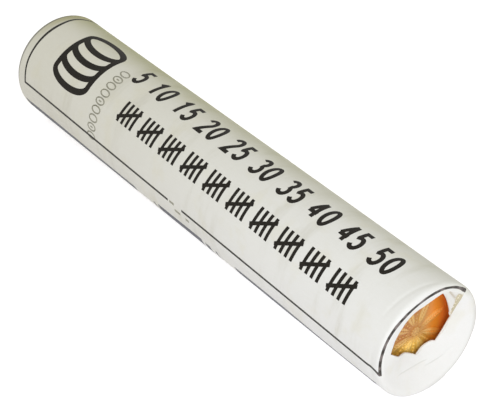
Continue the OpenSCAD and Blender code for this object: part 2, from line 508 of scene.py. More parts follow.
def crimp_rows(end, w):
    """Rows of one crimp from the rim inwards: top face, edge of the upper ply, the ply below it, lip,
    underside and the inside of the rolled rim. Also says how much darker each point is, with painted shade on
    the near crimp's leaf, and gives 1 for the inside of the sheet."""
    a = turn_of(end["side"] * roll_half, w)
    lip = np.minimum(outline(a, end["corners"]), cone_r - lip_gap)
    upper = lip + ply_step + ply_wander * np.clip(waves(a, (2, 3, 5, 9), end["seed"]), 0, None)
    upper = np.minimum(upper, cone_r - lip_gap / 2)
    top = top_radii(end, a, upper)
    ledge = upper + (lip - upper) * np.linspace(0, 1, 4)[:, None]
    under_r = crest_r + inner_roll * math.cos(rim_turn)
    under = lip + (under_r - lip) * np.linspace(0, 1, 8)[:, None]
    thick = 2 * paper_t + (wall / math.cos(crimp_slope) - 2 * paper_t) * smooth(0, 1.5, under - lip)
    curl = np.linspace(rim_turn, 0, 9)[1:, None]
    radii = [top, ledge, under, crest_r + inner_roll * np.cos(curl) + 0 * w]
    depths = [
        crimp_depth(top, a, end),
        crimp_depth(ledge, a, end) + paper_t,
        crimp_depth(under, a, end) + thick,
        rim_roll - inner_roll * np.sin(curl) + 0 * w,
    ]
    # Painted shade on the near crimp's leaf, stored for the material together with the inside of the sheet
    tint = leaf_tint(top, a) if end["flap"] else 0 * top
    lining = [tint, np.full(ledge.shape, 0.1), np.ones(under.shape), np.ones(depths[-1].shape)]
    x = end["side"] * (roll_half - np.concatenate(depths))
    return axis_point(x, np.concatenate(radii), a), np.concatenate(lining)


print(f"the upper ply ends {ply_step} to {ply_step + ply_wander:.1f} mm before the lip")

# %% [markdown]
# ## One closed skin of paper
# The wrapper could be built as a sheet with a Solidify modifier, but the folded rim and the torn
# lips need different thicknesses. Instead one loop of rows runs along the outside, round the near
# rim, down the crimp, over the lip, back along the inside and out of the far end again. Rows and
# columns both close, so the paper is a single watertight skin. The first and the last column lie
# side by side at the free edge of the sheet, where the step of one thickness shows.

# %% The paper wrapper
columns = 400
edge_gap = 0.03
plain_half = 38
w = np.linspace(lap_edge, lap_edge + 360 - edge_gap, columns)
rim_s = barrel_half + np.linspace(0, rim_roll * rim_turn, 15)[1:]
plain_s = np.linspace(0, plain_half, 16)
far_s = np.concatenate([plain_s[1:], np.linspace(plain_half + 1, barrel_half, 16), rim_s])
near_s = np.concatenate([plain_s, np.linspace(plain_half + 1, barrel_half, 34), rim_s])
outside = sheet_point(np.concatenate([-far_s[::-1], near_s])[:, None], w)
near_crimp, near_lining_shade = crimp_rows(near_end, w)
far_crimp, far_lining_shade = crimp_rows(far_end, w)
bore_s = np.linspace(barrel_half, -barrel_half, 6)[1:-1, None]
bore = axis_point(bore_s, bore_r, turn_of(bore_s, w))
skin_rows = np.concatenate([outside, near_crimp, bore, far_crimp[::-1]])
lining_shade_rows = [np.zeros(outside.shape[:2]), near_lining_shade, np.ones(bore.shape[:2]), far_lining_shade[::-1]]

paper_wrapper = make_piece(
    "wound_paper_wrapper", skin_rows.reshape(-1, 3), [ring_grid(len(skin_rows), columns, closed_rows=True)]
)
# Stores 1 for the inside of the sheet and a share of painted shade on the near crimp's leaf
mark_points(paper_wrapper, "lining", np.concatenate(lining_shade_rows))
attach(paper_wrapper, "wrapper")
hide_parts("paper_wrapper")

# %% [markdown]
# ## Print that follows the paper
# The real sheet is printed in black before it is rolled. A picture texture is ruled out here, and a
# pattern made of shader maths would be hard to read, so each stroke of print is a very thin closed
# bar that lies on the sheet. A stroke is a line of points in sheet millimetres, along the roll and
# round it. It is cut into short steps, widened to both sides and carried through sheet_point, which
# bends it round the barrel and over the rim.

# %% A bar of ink
mm_per_degree = math.radians(outer_r)
ink_lift = 0.012
ink_root = -0.03
ink_across = np.linspace(-1, 1, 5)
ink_limits = (lap_edge + 0.1, lap_edge + 359.8)


def resample(line, step=0.25):
    """Points along a line of straight stretches: every corner, and enough between to keep to the step."""
    line = np.asarray(line, float)
    lengths = np.linalg.norm(np.diff(line, axis=0), axis=1)
    travelled = np.concatenate([[0], np.cumsum(lengths)])
    extra = np.linspace(0, travelled[-1], max(2, int(travelled[-1] / step) + 1))
    places = np.unique(np.round(np.concatenate([travelled, extra]), 6))
    return np.stack([np.interp(places, travelled, line[:, k]) for k in (0, 1)], axis=-1)


def ink_sides(points, half_width, closed):
    """Points across a line: its sides are offset along the mitre of the two stretches that meet at a
    point, which is their sum turned by a right angle, longer the sharper the corner."""
    ahead = np.roll(points, -1, axis=0) - points
    behind = points - np.roll(points, 1, axis=0)
    if not closed:
        ahead[-1] = behind[-1]
        behind[0] = ahead[0]
    ahead /= np.linalg.norm(ahead, axis=1, keepdims=True)
    behind /= np.linalg.norm(behind, axis=1, keepdims=True)
    mitre = np.stack([-(ahead + behind)[:, 1], (ahead + behind)[:, 0]], axis=-1)
    mitre /= np.clip(1 + np.sum(ahead * behind, axis=1, keepdims=True), 0.5, None)
    width = np.broadcast_to(half_width, len(points))[:, None]
    return points[:, None, :] + (mitre * width)[:, None, :] * ink_across[:, None]


def bar_of_ink(line, half_width, lift):
    """A closed bar on the sheet: its top stands off the paper by the lift and its root lies in the paper.
    A line that returns to its start makes a ring, and any other gets a cap at both ends."""
    closed = np.allclose(line[0], line[-1])
    flat = ink_sides(line[:-1] if closed else line, half_width, closed)
    angle = np.clip(flat[..., 1] / mm_per_degree, *ink_limits)
    top = sheet_point(flat[..., 0], angle, lift)
    root = sheet_point(flat[..., 0], angle, ink_root)
    rings = np.concatenate([top, root[:, ::-1]], axis=1)
    count, ring = rings.shape[:2]
    faces = ring_grid(count, ring, closed_rows=closed)
    if not closed:
        k = np.arange(len(ink_across) - 1)
        cap = np.stack([k, ring - 1 - k, ring - 2 - k, k + 1], axis=-1)
        faces = np.concatenate([faces, cap, cap[:, ::-1] + (count - 1) * ring])
    return rings.reshape(-1, 3), faces


print(f"ink stands {ink_lift} mm off the sheet, where a degree is {mm_per_degree:.3f} mm")

# %% [markdown]
# ## A piece of print
# A block of print reaches nearly half-way round the roll, and then the next one starts, so that it
# can be read from any side. A block could be copied and turned, but a copy would cut through the free
# edge of the sheet, where the paper steps down by one thickness. So every stroke is laid on the sheet
# block by block and is parted there.

# %% Pieces of print
block_period = 176


def on_sheet(x, angle):
    """A line in sheet millimetres, from places along the roll and sheet angles in degrees."""
    return np.stack(np.broadcast_arrays(x, np.multiply(angle, mm_per_degree)), axis=-1)


def sheet_runs(line, block):
    """The runs of a line in one block of print. Where the line crosses the free edge it is cut, and its
    rest lies on the layer below, a whole turn further on."""
    fine = resample(line) + on_sheet(0, block * block_period)
    beyond = fine[:, 1] > (lap_edge + 360) * mm_per_degree
    runs = [fine[~beyond], fine[beyond] - on_sheet(0, 360)]
    return [run for run in runs if len(run) > 1]


def print_piece(name, strokes, width, lift=ink_lift, blocks=(0, 1)):
    """One object of print: a bar of ink for each run of each stroke in each of the blocks."""
    points, faces, count = [], [], 0
    for run in [run for line in strokes for block in blocks for run in sheet_runs(line, block)]:
        half = 0.5 * (width(run) if callable(width) else width)
        made, bars = bar_of_ink(run, half, lift)
        bars = bars if six_volumes(made, bars) > 0 else bars[:, ::-1]
        points.append(made)
        faces.append(bars + count)
        count += len(made)
    piece = make_piece(name, np.concatenate(points), faces)
    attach(piece, "wrapper")
    return piece


def bow(centre, radii, start, end, steps=16):
    """Points on an ellipse from one angle to another, in degrees, anticlockwise from the right."""
    return np.stack(polar(1.0, np.linspace(start, end, steps)), axis=-1) * radii + centre


print(f"the print repeats every {block_period} degrees")

# %% [markdown]
# ## The printed border
# A thin border runs round each block of print: along the barrel, round it near the far end, and
# over the very crest of the near rim, where rolling the paper has made it thicker and wavy. Straight
# lines would look drawn on afterwards, so the lines wander as the paper was pulled. The upper side
# stays open: there each block starts with a heavy slate-coloured rule, made further down.

# %% Lines of the border
border_far = -42.3
border_top = -53.2
border_low = 91.3
border_twist = 4.6
border_line = 0.37


def far_line_x(angle):
    """Place of the far line along the roll: it was pulled outwards near the top of the roll, and leans
    inwards at its lower end."""
    return border_far + 0.3 * smooth(65, 92, angle) - 0.25 * bell(angle + 5, 12)


def near_line_x(angle):
    """Distance along the sheet of the line that was rolled over the near rim: the upper part of it was
    drawn further over the crest towards the opening, most of all in the middle."""
    drawn_in = 0.0016 * (94 - angle) + 0.52 * bell(angle - 14, 30)
    return barrel_half + 0.72 + drawn_in + 0.015 * waves(angle, (5, 11, 19), 8)


def to_the_rim(x_from, angle):
    """A line along the roll that turns with the paper where crimping has twisted it at the near rim."""
    x = np.array([x_from, barrel_half - 0.3, barrel_half, barrel_half + 0.46, near_line_x(angle)])
    return on_sheet(x, angle + border_twist * np.array([0, 0, 0, 0.5, 1]))


def border_width(run):
    """One width, uneven and greater over the near rim, most of all at that line's upper end, and swollen
    in the middle of the far line."""
    angle = run[:, 1] / mm_per_degree
    on_rim = smooth(barrel_half, barrel_half + 0.6, run[:, 0])
    rim_part = 0.05 + 0.05 * waves(angle, (3, 7, 17, 29), 3) + 0.14 * (1 - smooth(-47, -41, angle))
    far_part = 0.18 * bell(angle - 18, 26) * (run[:, 0] < border_far + 0.4)
    return border_line + on_rim * (rim_part - 0.14 * bell(angle + 20, 16)) + far_part


print(f"border: {border_line} mm wide, from {border_top} to {border_low} degrees round the sheet")

# %% [markdown]
# ## Three pieces of border
# The lower line of the border has a short break, as a worn printing plate leaves. All of the border
# could be one piece, but only the front block of print reaches over the near rim, and the one on the
# back stops before it. So there are three pieces, of which the first repeats in both blocks.

# %% The border
break_from = -2.0
break_to = 1.4
back_to = barrel_half - 0.4
far_angles = np.linspace(border_top - 1.1, border_low + 1.1, 60)
rim_angles = np.linspace(border_top + 2.2, border_low + border_twist + 0.6, 240)
border = [
    on_sheet([far_line_x(border_low), break_from], border_low),
    on_sheet(far_line_x(far_angles), far_angles),
]
near_border = [
    to_the_rim(break_to, border_low),
    on_sheet(near_line_x(rim_angles), rim_angles),
]
back_line = on_sheet([break_to, back_to], border_low)
printed_border = print_piece("printed_border", border, border_width)
rolled_border = print_piece("rolled_border", near_border, border_width, blocks=(0,))
back_border = print_piece("back_border", [back_line], border_width, blocks=(1,))

# %% [markdown]
# ## Count numbers
# The sheet carries a count scale: the numbers from 5 to 50 and a group of five tally marks for
# each. A font would do for the numbers, but its outlines don't bend round a barrel. Here a digit is
# one to three strokes made of bows and straight lines in a unit box, so the same short recipe
# serves every place where it appears.

# %% Numbers of the count scale
row_height = 4.15
stroke = 0.67
digit_w = 1.4
digit_step = 2.45
number_start = -21.2
number_gap = 1.55
number_row_top = -13.6 * mm_per_degree

upper_bow = bow((0.47, 0.76), (0.45, 0.24), 155, -80)
lower_bow = bow((0.47, 0.265), (0.53, 0.265), 80, -155)
five_bow = bow((0.47, 0.31), (0.53, 0.31), 128, -150)
digits = {
    "0": [bow((0.5, 0.5), (0.5, 0.5), 90, 450, 32)],
    "1": [[(0.1, 0.76), (0.56, 1.0), (0.56, 0.0)]],
    "2": [np.concatenate([bow((0.5, 0.72), (0.48, 0.28), 165, -30), [(0.03, 0.0), (1.0, 0.0)]])],
    "3": [np.concatenate([upper_bow, lower_bow])],
    "4": [[(0.76, 0.0), (0.76, 1.0)], [(0.72, 1.0), (0.0, 0.3)], [(-0.1, 0.27), (1.06, 0.27)]],
    "5": [np.concatenate([[(0.94, 1.0), (0.2, 1.0), (0.1, 0.52)], five_bow])],
}


def placed(line, x, top, width):
    """Moves a line from the unit box to a row of the sheet: right is along the roll, up is back round it."""
    line = np.asarray(line, float)
    inner = row_height - stroke
    return np.stack([x + width * line[:, 0], top + stroke / 2 + inner * (1 - line[:, 1])], axis=-1)


numbers = []
digit_x = number_start
for number in range(5, 55, 5):
    for digit in str(number):
        numbers += [placed(line, digit_x, number_row_top, digit_w) for line in digits[digit]]
        digit_x += digit_step
    digit_x += number_gap
print(f"numbers end at {digit_x - number_gap:.1f} mm")
count_numbers = print_piece("count_numbers", numbers, stroke)

# %% [markdown]
# ## Tally marks
# Below each number stands a group of five marks: four bars, and a slash across them. Bars and slashes
# could be one piece, but where two flat strokes cross at one height their faces flicker. So the
# slashes are a piece of their own, a few thousandths of a millimetre higher.

# %% Tally marks of the count scale
tally_row_top = 30.4 * mm_per_degree
tally_start = -17.4
tally_step = 5.55
tally_pitch = 1.12
tally_stroke = 0.56
slash_over = 0.5
slash_w = 3 * tally_pitch + 2 * slash_over
slash_lift = ink_lift + 0.003
lefts = [tally_start + tally_step * group for group in range(10)]
bar_places = [left + tally_pitch * bar for left in lefts for bar in range(4)]
tally_bars = [placed([(0, 0), (0, 1)], bar_x, tally_row_top, 1) for bar_x in bar_places]
tally_slashes = [placed([(0, 0.16), (1, 0.84)], left - slash_over, tally_row_top, slash_w) for left in lefts]
tally_marks = print_piece("tally_bars", tally_bars, tally_stroke)
tally_strikes = print_piece("tally_strikes", tally_slashes, tally_stroke, lift=slash_lift)

# %% [markdown]
# ## The mark
# The large mark at the far end is a stack of three coins in plain strokes. A drawing could be traced,
# but the mark needs only what a pen would do: one whole ellipse, three halves below it and two sides.

# %% The coin-stack mark
mark_x = -31.2
mark_top = -13.3 * mm_per_degree
mark_stroke = 1.05
mark_radii = (4.5, 1.75)
mark_coin = 2.35
mark_y = mark_top + mark_stroke / 2 + mark_radii[1]
mark = [bow((mark_x, mark_y), mark_radii, 0, 360, 49)]
for level in (1, 2, 3):
    mark.append(bow((mark_x, mark_y + level * mark_coin), mark_radii, 0, 180, 25))
for side in (-1, 1):
    edge_x = mark_x + side * mark_radii[0]
    mark.append([(edge_x, mark_y - 0.1), (edge_x, mark_y + 3 * mark_coin + 0.15)])
coin_stack_mark = print_piece("coin_stack_mark", mark, mark_stroke)

# %% [markdown]
# ## The dots
# The faint column beside the mark is a row of small rings in thin grey ink, dotted as a needle
# printer leaves them. Dots could be discs of their own kind, but a stroke as long as it is wide does
# as well, so they need no new function.

# %% The dot column
dot = 0.22
dot_step = 0.31
thin_lift = ink_lift / 2
ring_count = 9
ring_x = -23.0
ring_lean = 0.07
ring_top = 13
ring_step = 9.6
ring_figure = resample(bow((0, 0), (1.0, 0.52), 0, 345, 24), dot_step)
centre_figure = [(-dot, 0.0), (0.0, 0.0), (dot, 0.0)]
dots = []
for k in range(ring_count):
    figure = list(ring_figure) + (centre_figure if k % 3 == 1 else [])
    for dx, dy in figure:
        dot_x = ring_x + ring_lean * k + dx
        dot_y = (ring_top + ring_step * k) * mm_per_degree + dy
        dots.append([(dot_x - dot / 2, dot_y), (dot_x + dot / 2, dot_y)])
dot_column = print_piece("dot_column", dots, dot, lift=thin_lift)

# %% [markdown]
# ## Rules in slate ink
# A heavy rule marks the start of each block. It was printed askew, so that on the askew sheet it
# comes to lie straight along the roll, and short bars stand in its gap, as a printer's register marks
# do. Its lower copy thins out towards the near end, where the ink ran dry. Both could be outlines that
# are filled in, but a stroke whose width changes along it is shorter to write. Three faint dashes by
# the break in the border come last.

# %% The rules, register marks and dashes
rule_angle = border_top - 2
rule_w = 1.7
register_w = 2.1
smudge_w = 0.4


def askew(x_from, x_to, shift):
    """A stretch of the rule, which was printed askew so that it lies straight along the roll."""
    x = np.array([x_from, x_to])
    return on_sheet(x, rule_angle + shift - skew * x)


def rule_width(run):
    """One width, and more towards the far end."""
    return rule_w + 0.8 * smooth(14, 42, -run[:, 0])


def thinning_width(run):
    """As the rule, but thinner towards the near end."""
    return rule_width(run) - 0.7 * smooth(22, 36, run[:, 0])


far_rule = askew(-43.3, -12.0, 0)
heavy_rule = print_piece("heavy_rule", [far_rule, askew(13.0, 37.0, 0)], rule_width, blocks=(0,))
thin_rule = np.concatenate([askew(13.0, 24.0, 0), askew(36.0, 42.8, 3)])
lower_rule = print_piece("lower_rule", [far_rule, thin_rule], thinning_width, blocks=(1,))
register = [askew(-6.9, -6.5, 0), askew(-5.6, 5.3, -2), askew(6.1, 7.2, 0), askew(8.6, 9.0, 0)]
register_marks = print_piece("register_marks", register, register_w)
smudges = [
    on_sheet([-1.6, -0.5], border_low),
    on_sheet([-0.4, 1.0], border_low + 6.2),
    on_sheet([2.3, 3.1], border_low + 6.8),
]
border_smudges = print_piece("border_smudges", smudges, smudge_w, lift=thin_lift, blocks=(0,))

# %% [markdown]
# ## Height of the relief
# Only the outer faces of the first and the last coin can be seen, so these two get a struck relief
# and the forty-eight between them keep the frame's own solids. A coin could be sculpted, but a
# relief is really a height at each radius and direction. What repeats round the coin is worked out
# in one sector, and folding the direction into that sector repeats it.

# %% Petals, pearls and domes
coin_low, coin_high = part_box("coin_01")
coin_t = (coin_high.x - coin_low.x) / MM
coin_r = 8.125
rim_w = 0.8
rim_slope = 0.15
rim_inner = coin_r - rim_w
field_r = rim_inner - rim_slope
bevel = 0.15
relief_h = 0.14
field_depth = 0.17
field_dome = 0.02


def dome(x):
    """Half a circle: 1 at 0, falling to 0 at 1 to both sides, the root of 1 - x^2."""
    return np.sqrt(np.clip(1 - x**2, 0, 1))


def folded(r, turn, count, offset=0.0):
    """Along and across distances in the nearest of count equal sectors."""
    sector = 360 / count
    return polar(r, np.mod(turn - offset + sector / 2, sector) - sector / 2)


def pearls(r, turn, count, ring, size, offset=0.0):
    """A ring of count equal beads: half spheres of radius size round the ring's radius."""
    along, across = folded(r, turn, count, offset)
    return dome(np.hypot(along - ring, across) / size)


def petals(r, turn, count, start, length, half_w):
    """Leaves between two parabolas, domed across, with a groove for the vein and finer side veins."""
    along, across = folded(r, turn, count)
    u = np.clip((along - start) / length, 0, 1)
    edge = np.maximum(4 * half_w * u * (1 - u), 1e-6)
    arch = dome(across / edge)
    vein = 0.5 * bell(across, 0.08)
    side_veins = 0.2 * np.cos(2 * np.pi * (along - 0.8 * np.abs(across)) / 0.42)
    return np.where(arch > 0, 0.25 + 0.65 * arch - vein + side_veins * arch**2, 0)


print(f"coin: {2 * coin_r:.2f} mm across and {coin_t:.2f} mm thick")

# %% [markdown]
# ## Two designs
# A real coin shows a design on either face. Here they are plain ornaments: a rosette of veined petals
# in a ring of beads, and a wheel of rays in a plain ring. Their parts could be joined as solids, but
# the largest of their heights at each point does the same, which is how raised parts join on a die.

# %% Rosette and sun wheel
bead_ring_r = 6.625
boss_r = 0.8
motif_start = 1.05
ray_len = 3.6


def rosette(r, turn):
    """Boss of small pearls, eight veined petals with strings of pearls between most of them, two fine
    threads that hold a ring of pearls, and thirty beads inside the rim."""
    strung = smooth(50, 75, np.abs(signed(turn)))
    heights = [0.6 * dome(r / boss_r), pearls(r, turn, 9, 0.55, 0.17), pearls(r, turn, 1, 0.0, 0.24)]
    heights.append(petals(r, turn, 8, motif_start, 4.2, 0.65))
    for ring in np.arange(1.6, 5.5, 0.55):
        heights.append(strung * pearls(r, turn, 8, ring, 0.12 + 0.025 * ring, 22.5))
    for ring in (4.2, 4.65, 5.1):
        heights.append(0.7 * strung * pearls(r, turn, 16, ring, 0.17, 11.25))
    for ring in (5.68, 6.18):
        heights.append(0.6 * bell(r - ring, 0.07))
    heights.append(0.8 * pearls(r, turn, 72, 5.93, 0.16))
    heights.append(pearls(r, turn, 30, bead_ring_r, 0.3))
    return np.max(heights, axis=0)


def sun_wheel(r, turn):
    """Boss, sixteen rays that widen outwards, each with a ridge, and a plain ring."""
    along, across = folded(r, turn, 16)
    half = 0.125 + 0.225 * np.clip((along - motif_start) / ray_len, 0, 1)
    inside = (along > motif_start) & (along < motif_start + ray_len)
    rays = np.where(inside, dome(across / half), 0)
    return np.max([dome(r / boss_r), rays, dome((r - bead_ring_r) / 0.175)], axis=0)


def coin_face(design, r, turn):
    """Height above the coin's middle plane, and the share of relief: field, slightly domed, design, and
    slope up to the rim."""
    r, turn = np.broadcast_arrays(r, turn)
    share = design(r, turn) * (1 - smooth(field_r - 0.05, field_r, r))
    rim = smooth(field_r, rim_inner, r)
    sunk = field_depth + field_dome * smooth(0, 1, r / coin_r)
    return coin_t / 2 - sunk * (1 - rim) + relief_h * share, np.maximum(share, rim)


print(f"relief: {relief_h} mm high on a field {field_depth} mm below the rim")

# %% [markdown]
# ## Placing the coins
# Each coin is a closed grid of rings: from the middle of one face out over the rim, down the edge
# and back in to the middle of the other face, with a fan of triangles at both middles. A square grid
# would be simpler, but it would cut the round rim into steps. The coin takes its place from the
# frame's coin and rides on the same body, so it slides and spins with it.

# %% Coins with relief
coin_nodes = [node for name, node in sorted(frame["nodes"].items()) if name.startswith("coin_")]
# As in the construction, each coin is turned on by the same step from the last one
first_turn = 20
turn_step = 137.5
last_turn = first_turn + turn_step * (len(coin_nodes) - 1)
hub_r = 0.06
coin_columns = 600


def relief_coin(name, node, turn, outward):
    """The coin that stands for a node. Its rosette faces outward, +1 or -1 along the roll."""
    turns = np.linspace(0, 360, coin_columns, endpoint=False)
    flat_r = coin_r - bevel
    front_r = np.concatenate([np.linspace(hub_r, 5.6, 60), np.linspace(5.7, flat_r, 34)])[:, None]
    back_r = np.linspace(flat_r, hub_r, 44)[:, None]
    front_h, front_share = coin_face(rosette, front_r, turns)
    back_h, back_share = coin_face(sun_wheel, back_r, turns)
    edge_r = np.array([coin_r, coin_r])[:, None]
    edge_h = np.array([1, -1])[:, None] * (coin_t / 2 - bevel) + 0 * turns
    r = np.concatenate([front_r, edge_r, back_r])
    h = np.concatenate([front_h, edge_h, -back_h])
    low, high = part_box(node)
    middle = (low.x + high.x) / 2 / MM
    rings = axis_point(middle + outward * h, r, turn + outward * turns)
    poles = axis_point(middle + outward * np.array([h[0].mean(), h[-1].mean()]), 0.0, 0.0)
    rows = len(h)
    j = np.arange(coin_columns)
    following = (j + 1) % coin_columns
    last = (rows - 1) * coin_columns
    pole = np.full(coin_columns, rows * coin_columns)
    fans = [
        np.stack([following, j, pole], axis=-1),
        np.stack([last + j, last + following, pole + 1], axis=-1),
    ]
    points = np.concatenate([rings.reshape(-1, 3), poles])
    coin = make_piece(name, points, [ring_grid(rows, coin_columns), *fans], sharp_angle=50)
    shares = np.concatenate([front_share, np.ones(edge_h.shape), back_share]).ravel()
    mark_points(coin, "relief", np.concatenate([shares, [1, 1]]))
    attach(coin, node)
    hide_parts(node)
    return coin


near_coin = relief_coin("near_end_coin", "coin_01", first_turn, 1)
far_coin = relief_coin("far_end_coin", "coin_50", last_turn, -1)

# %% [markdown]
# ## Shader maths as Python
# Materials here are node trees, and a long chain of Math nodes is hard to read as code. So a small
# class stands for one output socket: adding or multiplying two of them adds the Math node that does
# it. The reflected forms are there so that a number may also come first, as in 1 - mask.


# %% A wire
class Wire:
    """An output socket. Sums, differences and products with wires or numbers add Math nodes."""

    def __init__(self, shader, socket):
        self.shader = shader
        self.socket = socket

    def math(self, operation, first, second):
        """The Math node of an operation on two values."""
        return self.shader.add("ShaderNodeMath", {"operation": operation}, {0: first, 1: second})

    def __add__(self, other):
        return self.math("ADD", self, other)

    def __sub__(self, other):
        return self.math("SUBTRACT", self, other)

    def __rsub__(self, other):
        return self.math("SUBTRACT", other, self)

    def __mul__(self, other):
        return self.math("MULTIPLY", self, other)

    __radd__ = __add__
    __rmul__ = __mul__


print("wires add, subtract and multiply")

# %% [markdown]
# ## Colours as they are seen
# A screen stores colours on a curve that suits the eye, while Blender counts light, so a colour that
# is typed in as it looks on the screen comes out too pale. Each could be set by eye in a colour
# picker. Here one function undoes the curve, and colours are written as the screen shows them.


# %% Screen colours
def seen_colour(red, green, blue):
    """The linear colour that shows as these screen values from 0 to 255: the screen's curve undone, which
    is a straight line for the darkest values and a power of 2.4 above them."""
    values = [v / 255 for v in (red, green, blue)]
    return tuple(v / 12.92 if v <= 0.04045 else ((v + 0.055) / 1.055) ** 2.4 for v in values) + (1.0,)


print(f"middle grey on the screen is {seen_colour(128, 128, 128)[0]:.3f} of white in linear light")

# %% [markdown]
# ## A shader and its nodes
# Every other node comes from one method, which sets a node's own settings first, because they can
# change which sockets it has, and then gives its sockets their values or links. A few short methods
# on top of it name what the finishes below need again and again.


# %% Shader helpers
class Shader:
    """A node tree that is built by expressions."""

    def __init__(self, tree):
        self.tree = tree
        tree.nodes.clear()

    def add(self, kind, settings=None, sockets=None, out=0):
        """A node of any type: its settings, then the value or the wire of each socket."""
        node = self.tree.nodes.new(kind)
        for name, value in (settings or {}).items():
            setattr(node, name, value)
        for name, value in (sockets or {}).items():
            if isinstance(value, Wire):
                self.tree.links.new(value.socket, node.inputs[name])
            else:
                node.inputs[name].default_value = value
        return Wire(self, node.outputs[out]) if len(node.outputs) else None

    def mix(self, factor, first, second):
        """A colour between two colours, which are sockets 6 and 7 of the Mix node."""
        return self.add("ShaderNodeMix", {"data_type": "RGBA"}, {0: factor, 6: first, 7: second}, out=2)

    def tint(self, share, colour, *screen):
        """A colour with a share of another over it, which is given by its screen values."""
        return self.mix(share, colour, seen_colour(*screen))

    def ramp(self, value, low, high):
        """0 below low and 1 above high, smooth between them."""
        limits = {"Value": value, "From Min": low, "From Max": high}
        return self.add("ShaderNodeMapRange", {"interpolation_type": "SMOOTHSTEP"}, limits)

    def line(self, distance, width):
        """1 where a distance is 0, fading to 0 at the width on both sides."""
        away = self.add("ShaderNodeMath", {"operation": "ABSOLUTE"}, {0: distance})
        return 1 - self.ramp(away, 0.0, width)

    def span(self, value, low, high, fade=0.8):
        """1 between low and high, fading to 0 outside of them."""
        half = fade / 2
        return self.ramp(value, low - half, low + half) * self.ramp(high - value, -half, half)

    def millimetres(self, stretch=(1, 1, 1)):
        """Object coordinates in millimetres, stretched along the axes."""
        place = self.add("ShaderNodeTexCoord", out="Object")
        scale = tuple(k / MM for k in stretch)
        return self.add("ShaderNodeVectorMath", {"operation": "MULTIPLY"}, {0: place, 1: scale})

    def axes(self, place):
        """The three parts of a place: along the roll, across it and up."""
        along = self.add("ShaderNodeSeparateXYZ", {}, {0: place})
        return [Wire(self, socket) for socket in along.socket.node.outputs]

    def stored(self, name):
        """The number that mark_points stored at each point, or 0 where there is none."""
        return self.add("ShaderNodeAttribute", {"attribute_name": name}, out="Fac")

    def noise(self, place, per_mm, detail=3.0, rough=0.55):
        """Cloudy noise between 0 and 1, with so many blobs to the millimetre."""
        sockets = {"Vector": place, "Scale": per_mm, "Detail": detail, "Roughness": rough}
        return self.add("ShaderNodeTexNoise", {}, sockets)

    def bump(self, height, distance_mm, strength):
        """A normal bent by a height in millimetres."""
        sockets = {"Height": height, "Distance": distance_mm * MM, "Strength": strength}
        return self.add("ShaderNodeBump", {}, sockets)

    def surface(self, sockets):
        """A Principled surface, wired to the output."""
        skin = self.add("ShaderNodeBsdfPrincipled", {}, sockets)
        self.add("ShaderNodeOutputMaterial", {}, {"Surface": skin})


def new_finish(name):
    """An empty material and the shader that fills it."""
    material = bpy.data.materials.new(name)
    material.use_nodes = True
    return material, Shader(material.node_tree)


print("shaders mix, tint, fade and bump")

# %% [markdown]
# ## Places on the paper
# The paper's colour depends on where a point lies: hands wear the outside, and shade is painted onto the top
# and towards the far end. A picture could be painted on an unwrapped copy of the sheet, but it would have to
# be stored. Here the material asks where a point is. It reads object coordinates, so the tones stay with the
# piece, and the places that several tones need are worked out once.

# %% Places that the paper's tones need
from types import SimpleNamespace

# Squares of the distances from the axis between which a crimp turns into the outside of the roll
inner_square = 52.0
outer_square = 62.0


def paper_places(shader):
    """Wires for a point of the paper: its place, x and y in millimetres, its height above the axis, how
    far it lies past the near and past the far end of the barrel, the share of the way to the far end,
    whether it lies outside, told by the square of its distance from the axis, and two kinds of uneven
    tone: blotches, and streaks round the roll."""
    place = shader.millimetres()
    x, y, z = shader.axes(place)
    up = z - axis_z
    past_near = x - barrel_half
    past_far = 0 - x - barrel_half
    far = shader.ramp(0 - x, -44.0, 52.0)
    outside = shader.ramp(y * y + up * up, inner_square, outer_square)
    blotches = shader.noise(place, 0.55, detail=3.0)
    streaks = shader.noise(shader.millimetres((1, 0.2, 0.2)), 0.34, detail=4.0, rough=0.6)
    return SimpleNamespace(
        place=place, x=x, y=y, up=up, past_near=past_near, past_far=past_far,
        far=far, outside=outside, blotches=blotches, streaks=streaks,
    )


print(f"paper counts as outside from {math.sqrt(outer_square):.1f} mm off the axis")

# %% [markdown]
# ## Tones of the paper
# The wrapper is thin, smooth, slightly waxy paper: white where it is fresh, and grey from handling in streaks
# that run round it. Shade is painted onto it too: darker and creamier towards the far end, and olive along
# the top and on the upper side of the far rim. Each tone is a mask, made of noise and of smooth steps along
# the axes, and one colour that is laid over the last one by the mask. One mix with many colours would be
# harder to tune.


# %% Handling and painted shade
def sheet_tone(shader, at):
    """Colour of the sheet: fresh, with painted shade and a yellow cast towards the far end, yellow in
    patches, grey in streaks.
    """
    clouds = shader.noise(at.place, 0.11, detail=4.0)
    fresh = shader.tint(clouds, seen_colour(239, 239, 237), 246, 246, 244)
    # Painted shade with a yellow cast, mixed in towards the far end
    far_shade_tone = shader.tint(clouds, seen_colour(223, 221, 207), 231, 229, 218)
    sheet = shader.mix(at.far * 0.9 + at.blotches * 0.1, fresh, far_shade_tone)
    patches = shader.ramp(shader.noise(at.place, 0.24), 0.5, 0.72)
    yellowed = shader.tint(patches * 0.2, sheet, 224, 218, 184)
    handling = shader.ramp(at.streaks, 0.5, 0.76) * at.outside
    return shader.tint(handling * 0.3, yellowed, 192, 188, 168)


